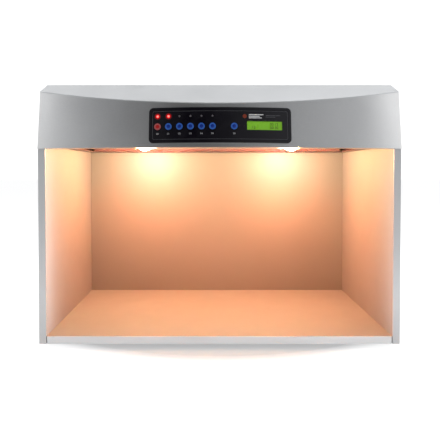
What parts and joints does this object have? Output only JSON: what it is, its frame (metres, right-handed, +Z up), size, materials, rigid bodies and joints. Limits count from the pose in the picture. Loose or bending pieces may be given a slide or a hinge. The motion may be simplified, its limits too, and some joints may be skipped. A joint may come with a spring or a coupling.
{
  "type": "colour assessment light booth",
  "caption": "Table-top light booth with an open front, a bowed lamp hood, a control panel with keys and a display, filament bulbs and fluorescent tubes.",
  "frame": {"origin": "on the table under the middle of the booth's bounding box", "axes": "+X to the viewer's right along the width, -Y towards the viewer at the open front, +Z up"},
  "size_m": [0.71, 0.4234, 0.527],
  "materials": {
    "cabinet_paint": "satin grey powder coat",
    "hood_paint": "fine silver-grey metallic powder coat",
    "lining_paint": "matt neutral grey",
    "reflector_paint": "matt white",
    "zinc_plate": "zinc plated",
    "screw_steel": "bright",
    "foot_rubber": "matt black",
    "holder_plastic": "white thermoplastic",
    "opal_glass": "white phosphor coating",
    "uv_glass": "dark violet filter glass",
    "cap_aluminium": "drawn",
    "bulb_glass": "lit, frosted",
    "bulb_brass": "drawn",
    "gear_case": "white enamel on an aluminium case",
    "supply_case": "black",
    "board_green": "solder mask",
    "relay_blue": "moulded",
    "wire_black": "sleeving",
    "inlet_black": "moulded",
    "switch_black": "moulded",
    "panel_black": "glossy black",
    "window_clear": "clear",
    "display_green": "backlit",
    "display_frame": "black",
    "lens_lit": "lit red",
    "lens_unlit": "unlit",
    "key_red": "moulded",
    "key_blue": "moulded"
  },
  "bodies": {
    "cabinet": {"side_skin_left": "cabinet_paint", "side_skin_right": "cabinet_paint", "side_lining_left": "lining_paint", "side_lining_right": "lining_paint", "back_skin": "cabinet_paint", "back_lining": "lining_paint", "base_tray": "cabinet_paint", "floor_lining": "lining_paint", "bottom_cover": "zinc_plate", "feet": "foot_rubber", "foot_screws": "screw_steel", "hood_fascia": "hood_paint", "hood_cover": "cabinet_paint", "cover_screws": "screw_steel", "side_screws": "screw_steel", "ceiling_panel": "lining_paint", "reflector": "reflector_paint", "tube_holders": "holder_plastic", "bulb_left": "bulb_glass", "bulb_right": "bulb_glass", "bulb_caps": "bulb_brass", "bulb_holders": "holder_plastic", "ballasts": "gear_case", "power_supply": "supply_case", "relay_board": "board_green", "relay_spacers": "screw_steel", "relays": "relay_blue", "terminal_block": "holder_plastic", "wiring_loom": "wire_black", "power_inlet": "inlet_black", "inlet_blades": "screw_steel", "switch_frame": "switch_black", "control_bezel": "panel_black", "control_face": "panel_black", "control_board": "board_green", "key_switches": "display_frame", "display_window": "window_clear", "display_panel": "display_green", "display_module": "display_frame", "indicators_lit": "lens_lit", "indicators_unlit": "lens_unlit"},
    "key_power": {"key_power": "key_red"},
    "key_filament": {"key_filament": "key_blue"},
    "key_daylight": {"key_daylight": "key_blue"},
    "key_store": {"key_store": "key_blue"},
    "key_uv": {"key_uv": "key_blue"},
    "key_cool_white": {"key_cool_white": "key_blue"},
    "key_auto": {"key_auto": "key_blue"},
    "main_switch": {"switch_rocker": "switch_black"},
    "fuse_holder": {"fuse_drawer": "inlet_black", "fuse_link": "screw_steel"},
    "daylight_lamp": {"tube_daylight": "opal_glass", "caps_daylight": "cap_aluminium"},
    "store_lamp": {"tube_store": "opal_glass", "caps_store": "cap_aluminium"},
    "cool_white_lamp": {"tube_cool_white": "opal_glass", "caps_cool_white": "cap_aluminium"},
    "uv_lamp": {"tube_uv": "uv_glass", "caps_uv": "cap_aluminium"}
  },
  "joints": [
    {"name": "key_power_press", "type": "slide", "parent": "cabinet", "child": "key_power", "axis": [0.1014, 0.9844, -0.1436], "range_m": [0, 0.0012], "stiffness_N_per_m": 900, "springref_m": -0.0006},
    {"name": "key_filament_press", "type": "slide", "parent": "cabinet", "child": "key_filament", "axis": [0.0836, 0.9861, -0.1439], "range_m": [0, 0.0012], "stiffness_N_per_m": 900, "springref_m": -0.0006},
    {"name": "key_daylight_press", "type": "slide", "parent": "cabinet", "child": "key_daylight", "axis": [0.0658, 0.9874, -0.144], "range_m": [0, 0.0012], "stiffness_N_per_m": 900, "springref_m": -0.0006},
    {"name": "key_store_press", "type": "slide", "parent": "cabinet", "child": "key_store", "axis": [0.048, 0.9884, -0.1442], "range_m": [0, 0.0012], "stiffness_N_per_m": 900, "springref_m": -0.0006},
    {"name": "key_uv_press", "type": "slide", "parent": "cabinet", "child": "key_uv", "axis": [0.0302, 0.9891, -0.1443], "range_m": [0, 0.0012], "stiffness_N_per_m": 900, "springref_m": -0.0006},
    {"name": "key_cool_white_press", "type": "slide", "parent": "cabinet", "child": "key_cool_white", "axis": [0.0123, 0.9895, -0.1443], "range_m": [0, 0.0012], "stiffness_N_per_m": 900, "springref_m": -0.0006},
    {"name": "key_auto_press", "type": "slide", "parent": "cabinet", "child": "key_auto", "axis": [-0.0227, 0.9893, -0.1443], "range_m": [0, 0.0012], "stiffness_N_per_m": 900, "springref_m": -0.0006},
    {"name": "main_switch_rock", "type": "hinge", "parent": "cabinet", "child": "main_switch", "pos_m": [-0.195, 0.20568, 0.45], "axis": [-1, 0, 0], "range_deg": [0, 16]},
    {"name": "fuse_drawer_slide", "type": "slide", "parent": "cabinet", "child": "fuse_holder", "axis": [0, 1, 0], "range_m": [0, 0.018]},
    {"name": "daylight_lamp_twist", "type": "hinge", "parent": "cabinet", "child": "daylight_lamp", "pos_m": [0, -0.06532, 0.425], "axis": [1, 0, 0], "range_deg": [0, 90]},
    {"name": "store_lamp_twist", "type": "hinge", "parent": "cabinet", "child": "store_lamp", "pos_m": [0, -0.03032, 0.425], "axis": [1, 0, 0], "range_deg": [0, 90]},
    {"name": "cool_white_lamp_twist", "type": "hinge", "parent": "cabinet", "child": "cool_white_lamp", "pos_m": [0, 0.08968, 0.425], "axis": [1, 0, 0], "range_deg": [0, 90]},
    {"name": "uv_lamp_twist", "type": "hinge", "parent": "cabinet", "child": "uv_lamp", "pos_m": [0, 0.12468, 0.425], "axis": [1, 0, 0], "range_deg": [0, 90]}
  ]
}
